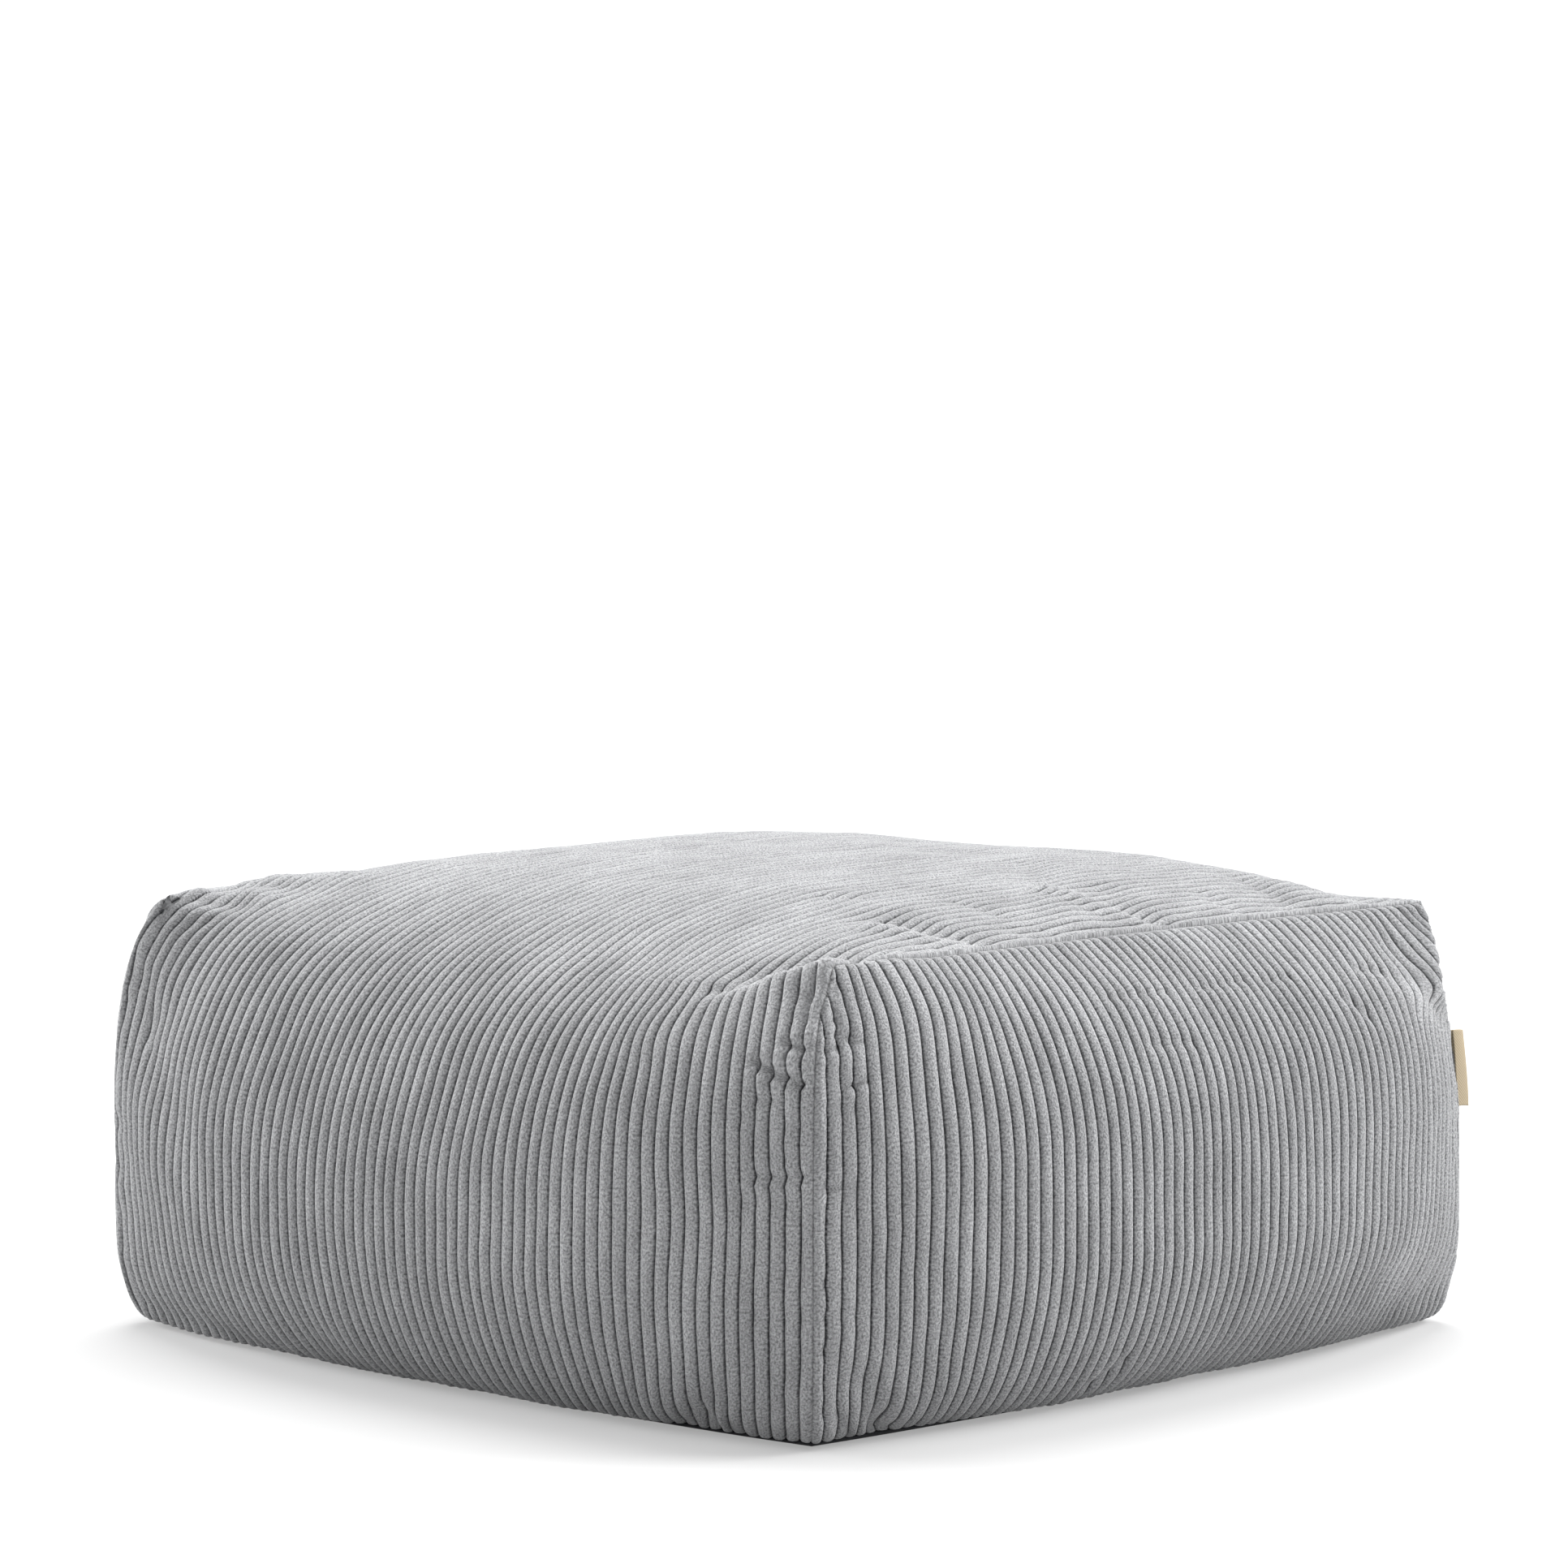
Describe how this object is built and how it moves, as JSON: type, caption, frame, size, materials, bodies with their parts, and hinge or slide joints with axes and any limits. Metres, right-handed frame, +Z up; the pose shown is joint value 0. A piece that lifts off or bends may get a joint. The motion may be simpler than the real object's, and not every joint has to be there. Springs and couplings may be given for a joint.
{
  "type": "bean bag footstool",
  "caption": "Low square bean bag footstool: a soft filled block in wide-wale grey corduroy, with a wrap-over top panel, end panels and a dark base.",
  "frame": {"origin": "centre of the base panel's underside, on the surface that the footstool rests on", "axes": "+Z up; the wrap panel's front faces -Y, its back faces +Y, and the end panels face +X and -X"},
  "size_m": [0.7823, 0.7455, 0.3214],
  "materials": {
    "corduroy": "wide-wale corduroy with a short soft pile",
    "base_cloth": "plain dark woven cloth",
    "label_tape": "natural woven cotton tape"
  },
  "bodies": {
    "root": {"cover_body": "corduroy", "end_panel_right": "corduroy", "end_panel_left": "corduroy", "base_panel": "base_cloth", "label": "label_tape"}
  },
  "joints": []
}
